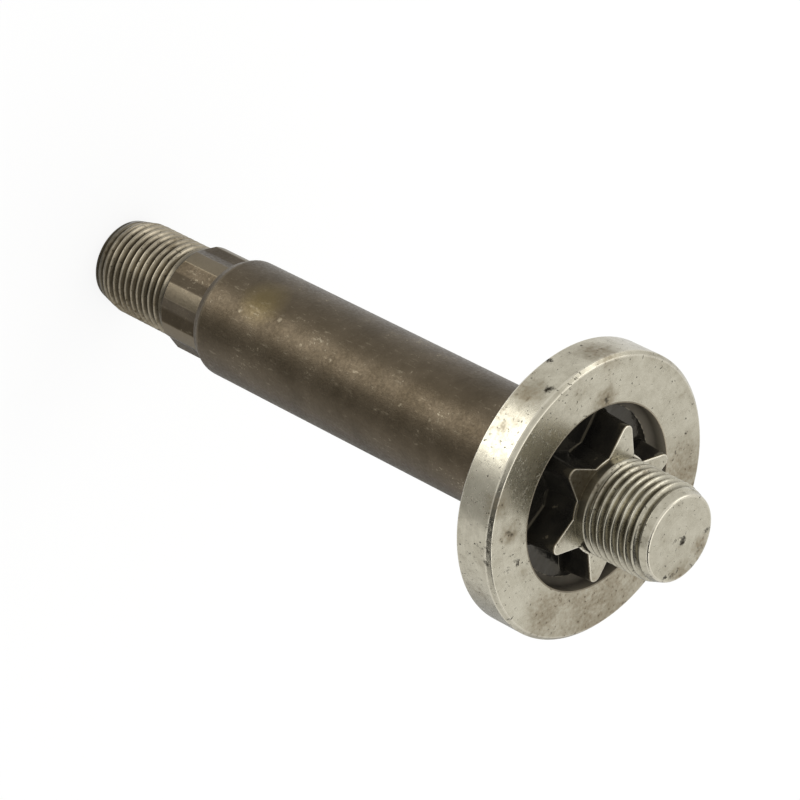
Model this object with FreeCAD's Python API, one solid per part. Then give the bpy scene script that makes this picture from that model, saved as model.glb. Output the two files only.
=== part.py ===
import FreeCAD, Part
import math
import os

# A mower deck spindle shaft, forged and turned as one steel piece, in millimetres.
# It stands on the flat face of its pulley end, because it rolls when it lies on its side.
# The shaft's axis is Z, and one point of the star and one tooth of the spline lie over +X.

# Turned diameters and their edges
THREAD_DIA = 15.875  # 5/8 in major diameter of both threads, whose fine grooves aren't cut here
JOURNAL_DIA = 20.0  # plain barrel that carries the bearings
JOURNAL_FILLET = 1.0  # root radius where the barrel meets the flange
SHOULDER_CHAMFER_RISE = 0.77  # lead that lets a bearing start onto the barrel, measured outward
SHOULDER_CHAMFER_LENGTH = 1.5  # the same lead, measured along the shaft
FLANGE_DIA = 46.8
FLANGE_FRONT_CHAMFER = 0.6
FLANGE_BACK_CHAMFER = 0.4
BLADE_END_CHAMFER_RISE = 0.95  # lead for the blade nut, measured outward
BLADE_END_CHAMFER_LENGTH = 2.8  # the same lead, measured along the shaft
PULLEY_END_CHAMFER_RISE = 0.95  # lead for the pulley nut, measured outward
PULLEY_END_CHAMFER_LENGTH = 4.0  # the same lead, measured along the shaft

# Lengths along the shaft
FLANGE_THICKNESS = 6.9
JOURNAL_LENGTH = 73.6  # back of the flange to the end of the shoulder's lead
SPLINE_LENGTH = 9.2
PULLEY_THREAD_LENGTH = 17.4
BLADE_THREAD_LENGTH = 13.85  # top of the star to the end of the shaft

# Recess in the flange's face
RECESS_DIA = 30.4
RECESS_DEPTH = 3.0
RECESS_FILLET = 1.0

# Forged star that turns the blade
STAR_POINTS = 6
STAR_TIP_DIA = 25.4
STAR_NOSE_RADIUS = 1.15
STAR_VALLEY_WIDTH = 2.9  # hub showing between two points, at the star's top
STAR_HUB_MARGIN = 0.3  # how far the hub stands outside the thread
STAR_RISE = 2.85  # top of the star above the seating face
STAR_DRAFT_DEG = 4.0
STAR_ROOT = 0.5  # depth that the star's body reaches below the recess floor

# Spline that drives the pulley
SPLINE_TEETH = 8
SPLINE_LAND_WIDTH = 2.6
SPLINE_DEPTH = 0.65
SPLINE_CLEARANCE = 0.31  # valley outside the thread, so that the pulley passes over it
SPLINE_LEAD = 1.1  # length of the cone that starts the teeth
SPLINE_ROOT = 1.0  # depth that the spline's body reaches into the barrel

# Places worked out from the sizes above
THREAD_R = THREAD_DIA / 2
JOURNAL_R = JOURNAL_DIA / 2
FLANGE_R = FLANGE_DIA / 2
RECESS_R = RECESS_DIA / 2
SPLINE_START_Z = PULLEY_THREAD_LENGTH
SHOULDER_Z = SPLINE_START_Z + SPLINE_LENGTH
FLANGE_BACK_Z = SHOULDER_Z + JOURNAL_LENGTH
SEAT_Z = FLANGE_BACK_Z + FLANGE_THICKNESS
RECESS_FLOOR_Z = SEAT_Z - RECESS_DEPTH
STAR_TOP_Z = SEAT_Z + STAR_RISE
BLADE_END_Z = STAR_TOP_Z + BLADE_THREAD_LENGTH

ORIGIN = FreeCAD.Vector(0, 0, 0)
UP = FreeCAD.Vector(0, 0, 1)


def on_profile(height, radius):
    """A point of the turned profile, drawn in the half plane on the +X side of the axis."""
    return FreeCAD.Vector(radius, 0, height)


def on_section(height, radius, angle):
    """A point of a level section, by its radius and its angle from +X towards +Y."""
    return FreeCAD.Vector(radius * math.cos(angle), radius * math.sin(angle), height)


def line(start, end):
    return Part.LineSegment(start, end).toShape()


def arc(start, middle, end):
    return Part.Arc(start, middle, end).toShape()


def corner_arc(start, centre, end):
    """A quarter round from start to end about centre."""
    outward = (start - centre) + (end - centre)
    middle = centre + outward * ((start - centre).Length / outward.Length)
    return arc(start, middle, end)


def turned_body():
    """Everything that the lathe makes, as one revolved profile."""
    recess_start = on_profile(RECESS_FLOOR_Z, RECESS_R - RECESS_FILLET)
    recess_end = on_profile(RECESS_FLOOR_Z + RECESS_FILLET, RECESS_R)
    recess_centre = on_profile(RECESS_FLOOR_Z + RECESS_FILLET, RECESS_R - RECESS_FILLET)
    root_start = on_profile(FLANGE_BACK_Z, JOURNAL_R + JOURNAL_FILLET)
    root_end = on_profile(FLANGE_BACK_Z - JOURNAL_FILLET, JOURNAL_R)
    root_centre = on_profile(FLANGE_BACK_Z - JOURNAL_FILLET, JOURNAL_R + JOURNAL_FILLET)
    blade_end = [
        on_profile(BLADE_END_Z, 0),
        on_profile(BLADE_END_Z, THREAD_R - BLADE_END_CHAMFER_RISE),
        on_profile(BLADE_END_Z - BLADE_END_CHAMFER_LENGTH, THREAD_R),
        on_profile(RECESS_FLOOR_Z, THREAD_R),
        recess_start,
    ]
    flange_rim = [
        recess_end,
        on_profile(SEAT_Z, RECESS_R),
        on_profile(SEAT_Z, FLANGE_R - FLANGE_FRONT_CHAMFER),
        on_profile(SEAT_Z - FLANGE_FRONT_CHAMFER, FLANGE_R),
        on_profile(FLANGE_BACK_Z + FLANGE_BACK_CHAMFER, FLANGE_R),
        on_profile(FLANGE_BACK_Z, FLANGE_R - FLANGE_BACK_CHAMFER),
        root_start,
    ]
    pulley_end = [
        root_end,
        on_profile(SHOULDER_Z + SHOULDER_CHAMFER_LENGTH, JOURNAL_R),
        on_profile(SHOULDER_Z, JOURNAL_R - SHOULDER_CHAMFER_RISE),
        on_profile(SHOULDER_Z, THREAD_R),
        on_profile(PULLEY_END_CHAMFER_LENGTH, THREAD_R),
        on_profile(0, THREAD_R - PULLEY_END_CHAMFER_RISE),
        ORIGIN,
        on_profile(BLADE_END_Z, 0),
    ]
    edges = []
    for run in (blade_end, flange_rim, pulley_end):
        edges += [line(start, end) for start, end in zip(run, run[1:])]
    edges.append(corner_arc(recess_start, recess_centre, recess_end))
    edges.append(corner_arc(root_start, root_centre, root_end))
    profile = Part.Wire(Part.__sortEdges__(edges))
    return Part.Face(profile).revolve(ORIGIN, UP, 360)


def star_outline(height, growth):
    """The star's outline at a height, grown outward all round by the draft.

    Each point has a round nose and two straight flanks, tangent to the nose, that end on the hub's circle.
    """
    pitch = 2 * math.pi / STAR_POINTS
    hub_r = THREAD_R + STAR_HUB_MARGIN
    base_angle = (pitch - STAR_VALLEY_WIDTH / hub_r) / 2
    nose_x = STAR_TIP_DIA / 2 - STAR_NOSE_RADIUS
    base = (hub_r * math.cos(base_angle) - nose_x, hub_r * math.sin(base_angle))
    tangent_angle = math.atan2(base[1], base[0]) - math.acos(STAR_NOSE_RADIUS / math.hypot(*base))
    nose_r = STAR_NOSE_RADIUS + growth
    tangent = (nose_x + nose_r * math.cos(tangent_angle), nose_r * math.sin(tangent_angle))
    tangent_r = math.hypot(*tangent)
    tangent_turn = math.atan2(tangent[1], tangent[0])
    grown_hub_r = hub_r + growth
    flank_reach = nose_x * math.cos(tangent_angle) + nose_r
    base_turn = tangent_angle - math.acos(flank_reach / grown_hub_r)
    edges = []
    for index in range(STAR_POINTS):
        turn = index * pitch
        foot = on_section(height, grown_hub_r, turn - base_turn)
        nose_start = on_section(height, tangent_r, turn - tangent_turn)
        nose_tip = on_section(height, nose_x + nose_r, turn)
        nose_end = on_section(height, tangent_r, turn + tangent_turn)
        far_foot = on_section(height, grown_hub_r, turn + base_turn)
        valley = on_section(height, grown_hub_r, turn + pitch / 2)
        next_foot = on_section(height, grown_hub_r, turn + pitch - base_turn)
        edges += [
            line(foot, nose_start),
            arc(nose_start, nose_tip, nose_end),
            line(nose_end, far_foot),
            arc(far_foot, valley, next_foot),
        ]
    return Part.Wire(edges)


def blade_star():
    """The forged star, from below the recess floor to its flat top."""
    bottom_z = RECESS_FLOOR_Z - STAR_ROOT
    draft = (STAR_TOP_Z - bottom_z) * math.tan(math.radians(STAR_DRAFT_DEG))
    return Part.makeLoft([star_outline(bottom_z, draft), star_outline(STAR_TOP_Z, 0)], True, True)


def pulley_spline():
    """Straight teeth with round lands and V valleys, started by a cone on the thread's side."""
    pitch = 2 * math.pi / SPLINE_TEETH
    valley_r = THREAD_R + SPLINE_CLEARANCE
    tip_r = valley_r + SPLINE_DEPTH
    half_land = SPLINE_LAND_WIDTH / (2 * tip_r)
    edges = []
    for index in range(SPLINE_TEETH):
        turn = index * pitch
        land_start = on_section(SPLINE_START_Z, tip_r, turn - half_land)
        land_end = on_section(SPLINE_START_Z, tip_r, turn + half_land)
        valley = on_section(SPLINE_START_Z, valley_r, turn + pitch / 2)
        next_start = on_section(SPLINE_START_Z, tip_r, turn + pitch - half_land)
        edges += [
            arc(land_start, on_section(SPLINE_START_Z, tip_r, turn), land_end),
            line(land_end, valley),
            line(valley, next_start),
        ]
    length = SPLINE_LENGTH + SPLINE_ROOT
    teeth = Part.Face(Part.Wire(edges)).extrude(UP * length)
    slope = (tip_r - THREAD_R) / SPLINE_LEAD
    start = UP * SPLINE_START_Z
    lead_cone = Part.makeCone(THREAD_R, THREAD_R + slope * length, length, start, UP)
    return teeth.common(lead_cone)


spindle_shaft = turned_body().fuse([blade_star(), pulley_spline()]).removeSplitter()
os.makedirs("parts", exist_ok=True)
spindle_shaft.exportStep("parts/spindle_shaft.step")
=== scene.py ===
import logging
import math
from dataclasses import dataclass
from enum import Enum
from typing import Any

import bmesh
import bpy
from mathutils import Matrix, Vector


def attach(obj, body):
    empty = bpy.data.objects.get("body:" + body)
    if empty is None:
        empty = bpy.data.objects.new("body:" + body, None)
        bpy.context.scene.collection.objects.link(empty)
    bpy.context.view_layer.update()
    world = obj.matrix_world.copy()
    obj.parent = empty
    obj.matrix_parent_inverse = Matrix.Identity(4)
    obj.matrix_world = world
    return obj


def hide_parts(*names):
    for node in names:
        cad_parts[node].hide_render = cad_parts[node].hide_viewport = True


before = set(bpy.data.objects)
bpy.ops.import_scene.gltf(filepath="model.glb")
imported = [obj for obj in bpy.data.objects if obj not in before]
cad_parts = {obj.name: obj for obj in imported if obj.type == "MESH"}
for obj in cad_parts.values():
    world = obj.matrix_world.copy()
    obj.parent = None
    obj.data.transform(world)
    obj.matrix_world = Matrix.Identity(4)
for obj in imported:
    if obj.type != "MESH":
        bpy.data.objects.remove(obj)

# A mower deck spindle shaft that stands on its pulley end. Sizes are in millimetres up to the last weld.
MM = 0.001  # metres in a millimetre
COLUMNS = 192  # columns of mesh round the shaft
ARC_STEP = math.radians(14.0)  # largest turn between two rings of a rounded corner
EDGE_HOLD = 0.08  # distance of the ring that keeps a face flat beside a rounded corner
WELD = 0.004  # distance within which points are welded
SHARP_ANGLE = math.radians(24.0)  # edges that turn by more are shaded sharp
NODE = "spindle_shaft"

# How marks show on the steel
SPOT_CORE = 0.3  # share of a blemish's reach in which it is at its strongest
WANDER_SIZE = 1.25  # size of the bays and tongues of a blemish's outline, in mm
METAL_WANDER = 4.0  # how far the outlines of blemishes wander on bare metal, in mm
SKIN_WANDER = 1.6  # how far they wander on a skin, in mm
STAIN_DULLING = 0.6  # how much a stain dulls the metal under it
DIRT_ROUGHENING = 0.25  # how much rust and pits add to the roughness
PIT_RELIEF = -2.0  # height of a pit, beside a mottling of height 1
METAL_BUMP = 0.04  # height of the mottling's bump, in mm
SCRATCH_SIZE = 2 / 3  # size of the scratches' pattern in mm, coarser than real ones so that it shows
SCRATCH_DRAW = (1.0, 1.0, 0.3)  # scale that draws scratches out along the shaft
RUB_FROM = 1.3  # sum of a skin's patches and grain above which it is bare when nothing has rubbed it
RUB_RANGE = 0.5  # how far rubbing brings that sum down

log = logging.getLogger("spindle")

Point = tuple[float, float, float]  # x, y and z
ProfilePoint = tuple[float, float, float]  # radius, height and wear, which below 0 is painted shade


def linear(colour: str) -> tuple[float, float, float, float]:
    """Turns an sRGB hex colour to linear values.

    Args:
        colour: Colour such as "#C3BEB2".

    Returns:
        Red, green and blue as linear values, with an alpha of one.
    """
    channels = [int(colour[start:start + 2], 16) / 255 for start in (1, 3, 5)]
    flat = [c / 12.92 if c <= 0.04045 else ((c + 0.055) / 1.055) ** 2.4 for c in channels]
    return (flat[0], flat[1], flat[2], 1.0)


def add_node(
    tree: bpy.types.NodeTree, kind: str, inputs: dict[str | int, Any] | None = None, **settings: Any
) -> bpy.types.Node:
    """Adds a node with its settings, values and links.

    Args:
        tree: Node tree that gets the node.
        kind: Blender's name for the kind of node.
        inputs: Value or linked output for each input, by name or index.
        settings: Properties of the node itself.

    Returns:
        The new node.
    """
    node = tree.nodes.new(kind)
    for name, value in settings.items():
        setattr(node, name, value)
    for key, value in (inputs or {}).items():
        if isinstance(value, bpy.types.NodeSocket):
            tree.links.new(value, node.inputs[key])
        else:
            node.inputs[key].default_value = value
    return node


def start_material(name: str) -> tuple[bpy.types.Material, bpy.types.NodeTree, bpy.types.Node]:
    """Starts a material.

    Args:
        name: Name of the material.

    Returns:
        The material, its node tree and its Principled shader.
    """
    material = bpy.data.materials.new(name)
    material.use_nodes = True
    tree = material.node_tree
    return material, tree, tree.nodes["Principled BSDF"]


def add_object(name: str, data: bpy.types.ID) -> bpy.types.Object:
    """Adds an object to the scene.

    Args:
        name: Name of the object.
        data: Its mesh, lamp or camera.

    Returns:
        The object.
    """
    made = bpy.data.objects.new(name, data)
    bpy.context.scene.collection.objects.link(made)
    return made


class Hand(Enum):
    """Which way a thread climbs."""

    RIGHT = 1.0
    LEFT = -1.0


class Mark(Enum):
    """What a blemish on the steel is."""

    STAIN = "stain"
    PIT = "pit"
    SCUFF = "scuff"


@dataclass(frozen=True)
class Blemish:
    """One stain, pit or scuff on the steel.

    Attributes:
        mark: What it is.
        place: Its middle on the shaft, in mm.
        reach: How far it spreads, in mm.
        depth: How strong it is, from 0 to 1.
    """

    mark: Mark
    place: Point
    reach: float
    depth: float = 1.0


def blemish_mask(
    tree: bpy.types.NodeTree, place: bpy.types.NodeSocket, blemishes: tuple[Blemish, ...], mark: Mark
) -> bpy.types.NodeSocket | float:
    """Joins the blemishes of one kind into one mask.

    Args:
        tree: The material's node tree.
        place: Place on the shaft in mm, shifted so that outlines come out ragged.
        blemishes: Blemishes of every kind.
        mark: The kind that the mask is for.

    Returns:
        The mask from 0 to 1, or plain 0 where the kind doesn't occur.
    """
    joined: bpy.types.NodeSocket | float = 0.0
    for blemish in blemishes:
        if blemish.mark is not mark:
            continue
        distance = add_node(
            tree, "ShaderNodeVectorMath", {0: place, 1: blemish.place}, operation="DISTANCE"
        ).outputs["Value"]
        spot = add_node(
            tree,
            "ShaderNodeMapRange",
            {
                "Value": distance,
                "From Min": blemish.reach,
                "From Max": SPOT_CORE * blemish.reach,
                "To Max": blemish.depth,
            },
        ).outputs["Result"]
        joined = add_node(tree, "ShaderNodeMath", {0: joined, 1: spot}, operation="MAXIMUM").outputs[0]
    return joined


def ragged(tree: bpy.types.NodeTree, mm: bpy.types.NodeSocket, reach: float) -> bpy.types.NodeSocket:
    """Shifts a place at random, which makes the outline of a blemish ragged.

    Args:
        tree: The material's node tree.
        mm: Place on the shaft in mm.
        reach: Size of the shift in mm.

    Returns:
        The shifted place.
    """
    wander = add_node(
        tree,
        "ShaderNodeTexNoise",
        {"Vector": mm, "Scale": 1 / WANDER_SIZE, "Detail": 4.0, "Roughness": 0.7},
    ).outputs["Color"]
    shift = add_node(
        tree, "ShaderNodeVectorMath", {0: wander, 1: (0.5, 0.5, 0.5)}, operation="SUBTRACT"
    ).outputs["Vector"]
    return add_node(
        tree, "ShaderNodeVectorMath", {0: shift, 1: (reach, reach, reach), 2: mm}, operation="MULTIPLY_ADD"
    ).outputs["Vector"]


@dataclass(frozen=True)
class TurnedSteel:
    """Plain carbon steel as the lathe left it, after some time on a shelf.

    Satin grey with a warm cast, mottled by handling. Thin brown rust, dark specks and grime in the grooves break
    up its shine. Painted shade darkens its corners where the wear attribute is below 0.

    Attributes:
        name: Name of the material.
        bright: Colour of the clean metal.
        dull: Colour where handling has dulled it.
        edge: Colour of an edge that is rubbed bright, on the blade end's face partly a painted highlight.
        rust: Colour of the thin rust.
        pit: Colour inside pits and specks.
        grime_and_shade: Colour of the grime in grooves and of the painted shade in corners.
        grime_from: Depth of a groove, as a share, from which grime fills it.
        roughness: Base roughness of the cut surface.
        ring_pitch: Spacing of the turning rings in mm, coarser than a real feed so that it shows.
        mottle: Size of the fine mottling in mm.
        cloud: Size of the dull clouds in mm.
        speck: Size of the dark specks in mm.
        blemishes: Stains and pits with a place of their own.
    """

    name: str = "turned_carbon_steel"
    bright: str = "#BCB7A6"
    dull: str = "#918B7A"
    edge: str = "#DCD6C6"
    rust: str = "#6E5C40"
    pit: str = "#29241B"
    # Also the colour of the painted shade in corners.
    grime_and_shade: str = "#2A2518"
    grime_from: float = 0.27
    roughness: float = 0.25
    ring_pitch: float = 0.35
    mottle: float = 1.3
    cloud: float = 6.0
    speck: float = 2 / 3
    blemishes: tuple[Blemish, ...] = ()

    def make(self) -> bpy.types.Material:
        """Builds the material.

        Returns:
            The finished material.
        """
        material, tree, shader = start_material(self.name)
        place = add_node(tree, "ShaderNodeTexCoord").outputs["Object"]
        mm = add_node(
            tree, "ShaderNodeVectorMath", {0: place, "Scale": 1 / MM}, operation="SCALE"
        ).outputs["Vector"]
        flat = add_node(
            tree, "ShaderNodeVectorMath", {0: mm, 1: (1, 1, 0)}, operation="MULTIPLY"
        ).outputs["Vector"]
        radius = add_node(tree, "ShaderNodeVectorMath", {0: flat}, operation="LENGTH").outputs["Value"]
        height = add_node(tree, "ShaderNodeSeparateXYZ", {0: mm}).outputs["Z"]
        along = add_node(tree, "ShaderNodeMath", {0: radius, 1: height}, operation="ADD").outputs[0]
        rings = add_node(
            tree,
            "ShaderNodeTexNoise",
            {"W": along, "Scale": 1 / self.ring_pitch, "Detail": 2.0},
            noise_dimensions="1D",
        ).outputs["Fac"]
        clouds = add_node(
            tree,
            "ShaderNodeTexNoise",
            {"Vector": mm, "Scale": 1 / self.cloud, "Detail": 5.0, "Roughness": 0.62},
        ).outputs["Fac"]
        mottle = add_node(
            tree,
            "ShaderNodeTexNoise",
            {"Vector": mm, "Scale": 1 / self.mottle, "Detail": 6.0, "Roughness": 0.72},
        ).outputs["Fac"]
        specks = add_node(
            tree,
            "ShaderNodeTexNoise",
            {"Vector": mm, "Scale": 1 / self.speck, "Detail": 4.0, "Roughness": 0.66},
        ).outputs["Fac"]
        cloud_tone = add_node(
            tree, "ShaderNodeMapRange", {"Value": clouds, "From Min": 0.42, "From Max": 0.7, "To Max": 0.5}
        ).outputs["Result"]
        mottle_tone = add_node(
            tree, "ShaderNodeMapRange", {"Value": mottle, "From Min": 0.42, "From Max": 0.7, "To Max": 0.4}
        ).outputs["Result"]
        ring_tone = add_node(
            tree, "ShaderNodeMapRange", {"Value": rings, "From Min": 0.3, "From Max": 0.7, "To Max": 0.1}
        ).outputs["Result"]
        spread = ragged(tree, mm, METAL_WANDER)
        stains = blemish_mask(tree, spread, self.blemishes, Mark.STAIN)
        stained = add_node(
            tree, "ShaderNodeMath", {0: stains, 1: STAIN_DULLING, 2: ring_tone}, operation="MULTIPLY_ADD"
        ).outputs[0]
        patchy = add_node(tree, "ShaderNodeMath", {0: cloud_tone, 1: mottle_tone}, operation="ADD").outputs[0]
        tone = add_node(
            tree, "ShaderNodeMath", {0: patchy, 1: stained}, operation="ADD", use_clamp=True
        ).outputs[0]
        wear_and_shade = add_node(tree, "ShaderNodeAttribute", attribute_name="wear_and_shade").outputs["Fac"]
        # Edges rubbed bright; on the edge of the blade end's face this is partly a painted highlight.
        rubbed = add_node(tree, "ShaderNodeMapRange", {"Value": wear_and_shade, "To Max": 0.6}).outputs["Result"]
        rust_cloud = add_node(
            tree, "ShaderNodeMapRange", {"Value": clouds, "From Min": 0.57, "From Max": 0.8}
        ).outputs["Result"]
        rust_grain = add_node(
            tree, "ShaderNodeMapRange", {"Value": mottle, "From Min": 0.46, "From Max": 0.62, "To Max": 0.75}
        ).outputs["Result"]
        thin_rust = add_node(
            tree, "ShaderNodeMath", {0: rust_cloud, 1: rust_grain}, operation="MULTIPLY"
        ).outputs[0]
        stain_grain = add_node(
            tree, "ShaderNodeMapRange", {"Value": specks, "From Min": 0.34, "From Max": 0.68, "To Max": 0.7}
        ).outputs["Result"]
        spotty = add_node(
            tree, "ShaderNodeMath", {0: stains, 1: stain_grain}, operation="MULTIPLY"
        ).outputs[0]
        rusty = add_node(tree, "ShaderNodeMath", {0: thin_rust, 1: spotty}, operation="MAXIMUM").outputs[0]
        speck_spots = add_node(
            tree, "ShaderNodeMapRange", {"Value": specks, "From Min": 0.62, "From Max": 0.68, "To Max": 0.85}
        ).outputs["Result"]
        pits = add_node(
            tree,
            "ShaderNodeMath",
            {0: speck_spots, 1: blemish_mask(tree, spread, self.blemishes, Mark.PIT)},
            operation="MAXIMUM",
        ).outputs[0]
        groove = add_node(tree, "ShaderNodeAttribute", attribute_name="groove").outputs["Fac"]
        filth = add_node(
            tree,
            "ShaderNodeMapRange",
            {"Value": groove, "From Min": self.grime_from, "From Max": 0.9, "To Max": 0.9},
        ).outputs["Result"]
        thick = add_node(
            tree, "ShaderNodeMapRange", {"Value": clouds, "From Min": 0.3, "From Max": 0.55, "To Min": 0.55}
        ).outputs["Result"]
        caked = add_node(tree, "ShaderNodeMath", {0: filth, 1: thick}, operation="MULTIPLY").outputs[0]
        # Painted shade: where the wear attribute is below 0, corners and hollows darken to the grime colour.
        painted_shade = add_node(
            tree, "ShaderNodeMapRange", {"Value": wear_and_shade, "From Min": 0.0, "From Max": -1.0}
        ).outputs["Result"]
        grime_and_shade_mask = add_node(tree, "ShaderNodeMath", {0: caked, 1: painted_shade}, operation="MAXIMUM").outputs[0]
        shade = add_node(
            tree, "ShaderNodeMix", {0: tone, 6: linear(self.bright), 7: linear(self.dull)}, data_type="RGBA"
        ).outputs[2]
        for mask, tint in ((rubbed, self.edge), (rusty, self.rust), (grime_and_shade_mask, self.grime_and_shade), (pits, self.pit)):
            shade = add_node(
                tree, "ShaderNodeMix", {0: mask, 6: shade, 7: linear(tint)}, data_type="RGBA"
            ).outputs[2]
        rough = add_node(
            tree,
            "ShaderNodeMapRange",
            {"Value": tone, "To Min": self.roughness - 0.04, "To Max": self.roughness + 0.1},
        ).outputs["Result"]
        # Rust and pits, which roughen the metal.
        dirt_and_shade = add_node(tree, "ShaderNodeMath", {0: rusty, 1: pits}, operation="MAXIMUM").outputs[0]
        roughened = add_node(
            tree, "ShaderNodeMath", {0: dirt_and_shade, 1: DIRT_ROUGHENING, 2: rough}, operation="MULTIPLY_ADD"
        ).outputs[0]
        relief = add_node(
            tree, "ShaderNodeMath", {0: pits, 1: PIT_RELIEF, 2: mottle}, operation="MULTIPLY_ADD"
        ).outputs[0]
        bump = add_node(
            tree, "ShaderNodeBump", {"Height": relief, "Strength": 0.35, "Distance": METAL_BUMP * MM}
        )
        tree.links.new(shade, shader.inputs["Base Color"])
        tree.links.new(roughened, shader.inputs["Roughness"])
        tree.links.new(bump.outputs["Normal"], shader.inputs["Normal"])
        shader.inputs["Metallic"].default_value = 1.0
        return material


@dataclass(frozen=True)
class SkinnedSteel:
    """Steel under a thin dark skin, such as forging scale or brown oxide.

    Oxide is so thin that it shines like dark metal. Scale is thick: it has a dark colour of its own under its
    shine. Painted shade darkens its corners and hollows where the wear attribute is below 0.

    Attributes:
        name: Name of the material.
        dark: Darkest colour of the skin.
        pale: Palest colour of the skin.
        stain: Colour of a stain on the skin.
        dirt_and_shade: Colour of the painted shade in corners and hollows.
        bare: Colour of the metal where the skin is rubbed through.
        metal: How much the skin shines like metal, from 0 to 1.
        roughness: Base roughness.
        grain: Size of the skin's grain in mm.
        patch: Size of its patches in mm.
        relief: Height of the grain in mm.
        edge_wear: How bare the edges are, from 0 to 1.
        gloss: How strongly a skin that isn't metal shines, with 0.5 as usual.
        shine_tint: Colour of that shine.
        rubbed: Share of the skin that is rubbed through, from 0 to 1.
        scratched: How bare the scratches along the shaft are, from 0 to 1.
        blemishes: Stains and scuffs with a place of their own.
    """

    name: str
    dark: str
    pale: str
    stain: str
    dirt_and_shade: str
    bare: str
    metal: float
    roughness: float
    grain: float
    patch: float
    relief: float
    edge_wear: float
    gloss: float = 0.5
    shine_tint: str = "#FFFFFF"
    rubbed: float = 0.0
    scratched: float = 0.0
    blemishes: tuple[Blemish, ...] = ()

    def make(self) -> bpy.types.Material:
        """Builds the material.

        Returns:
            The finished material.
        """
        material, tree, shader = start_material(self.name)
        place = add_node(tree, "ShaderNodeTexCoord").outputs["Object"]
        mm = add_node(
            tree, "ShaderNodeVectorMath", {0: place, "Scale": 1 / MM}, operation="SCALE"
        ).outputs["Vector"]
        patches = add_node(
            tree,
            "ShaderNodeTexNoise",
            {"Vector": mm, "Scale": 1 / self.patch, "Detail": 6.0, "Roughness": 0.65},
        ).outputs["Fac"]
        grain = add_node(
            tree,
            "ShaderNodeTexNoise",
            {"Vector": mm, "Scale": 1 / self.grain, "Detail": 3.0, "Roughness": 0.6},
        ).outputs["Fac"]
        tone = add_node(
            tree, "ShaderNodeMapRange", {"Value": patches, "From Min": 0.33, "From Max": 0.68}
        ).outputs["Result"]
        spread = ragged(tree, mm, SKIN_WANDER)
        wear_and_shade = add_node(tree, "ShaderNodeAttribute", attribute_name="wear_and_shade").outputs["Fac"]
        rub_from = RUB_FROM - RUB_RANGE * self.rubbed
        rub_mix = add_node(tree, "ShaderNodeMath", {0: patches, 1: grain}, operation="ADD").outputs[0]
        rub = add_node(
            tree, "ShaderNodeMapRange", {"Value": rub_mix, "From Min": rub_from, "From Max": rub_from + 0.2}
        ).outputs["Result"]
        edge_grain = add_node(
            tree,
            "ShaderNodeMapRange",
            {"Value": grain, "To Min": 0.6 * self.edge_wear, "To Max": 1.4 * self.edge_wear},
        ).outputs["Result"]
        edge = add_node(tree, "ShaderNodeMath", {0: wear_and_shade, 1: edge_grain}, operation="MULTIPLY").outputs[0]
        scuffs = blemish_mask(tree, spread, self.blemishes, Mark.SCUFF)
        drawn = add_node(
            tree, "ShaderNodeVectorMath", {0: mm, 1: SCRATCH_DRAW}, operation="MULTIPLY"
        ).outputs["Vector"]
        lines = add_node(
            tree,
            "ShaderNodeTexNoise",
            {"Vector": drawn, "Scale": 1 / SCRATCH_SIZE, "Detail": 5.0, "Roughness": 0.72},
        ).outputs["Fac"]
        scratch_lines = add_node(
            tree,
            "ShaderNodeMapRange",
            {"Value": lines, "From Min": 0.58, "From Max": 0.74, "To Max": self.scratched},
        ).outputs["Result"]
        scratches = add_node(
            tree, "ShaderNodeMath", {0: scratch_lines, 1: tone}, operation="MULTIPLY"
        ).outputs[0]
        bare: bpy.types.NodeSocket = rub
        for wear in (edge, scuffs, scratches):
            bare = add_node(tree, "ShaderNodeMath", {0: bare, 1: wear}, operation="MAXIMUM").outputs[0]
        shade = add_node(
            tree, "ShaderNodeMix", {0: tone, 6: linear(self.dark), 7: linear(self.pale)}, data_type="RGBA"
        ).outputs[2]
        stains = blemish_mask(tree, spread, self.blemishes, Mark.STAIN)
        # Painted shade: where the wear attribute is below 0, corners and hollows darken to the skin's shade
        # colour.
        painted_shade = add_node(
            tree, "ShaderNodeMapRange", {"Value": wear_and_shade, "From Min": 0.0, "From Max": -1.0}
        ).outputs["Result"]
        for mask, tint in ((stains, self.stain), (painted_shade, self.dirt_and_shade), (bare, self.bare)):
            shade = add_node(
                tree, "ShaderNodeMix", {0: mask, 6: shade, 7: linear(tint)}, data_type="RGBA"
            ).outputs[2]
        shine = add_node(tree, "ShaderNodeMath", {0: bare, 1: self.metal}, operation="MAXIMUM").outputs[0]
        rough = add_node(
            tree,
            "ShaderNodeMapRange",
            {
                "Value": grain,
                "From Min": 0.3,
                "From Max": 0.7,
                "To Min": self.roughness - 0.08,
                "To Max": self.roughness + 0.1,
            },
        ).outputs["Result"]
        bump = add_node(
            tree, "ShaderNodeBump", {"Height": grain, "Strength": 0.6, "Distance": self.relief * MM}
        )
        tree.links.new(shade, shader.inputs["Base Color"])
        tree.links.new(rough, shader.inputs["Roughness"])
        tree.links.new(shine, shader.inputs["Metallic"])
        shader.inputs["Specular IOR Level"].default_value = self.gloss
        shader.inputs["Specular Tint"].default_value = linear(self.shine_tint)
        tree.links.new(bump.outputs["Normal"], shader.inputs["Normal"])
        return material


@dataclass(frozen=True)
class Finishes:
    """The shaft's materials.

    Attributes:
        turned: Bright turned steel of the flange and the blade end.
        scale: Black forging scale of the star's flanks and the floor between them.
        recess: Grey forging scale of the recess wall.
        oxide: Brown oxide of the barrel and the spline.
        pulley: Dull thread at the pulley end.
    """

    turned: bpy.types.Material
    scale: bpy.types.Material
    recess: bpy.types.Material
    oxide: bpy.types.Material
    pulley: bpy.types.Material


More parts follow.
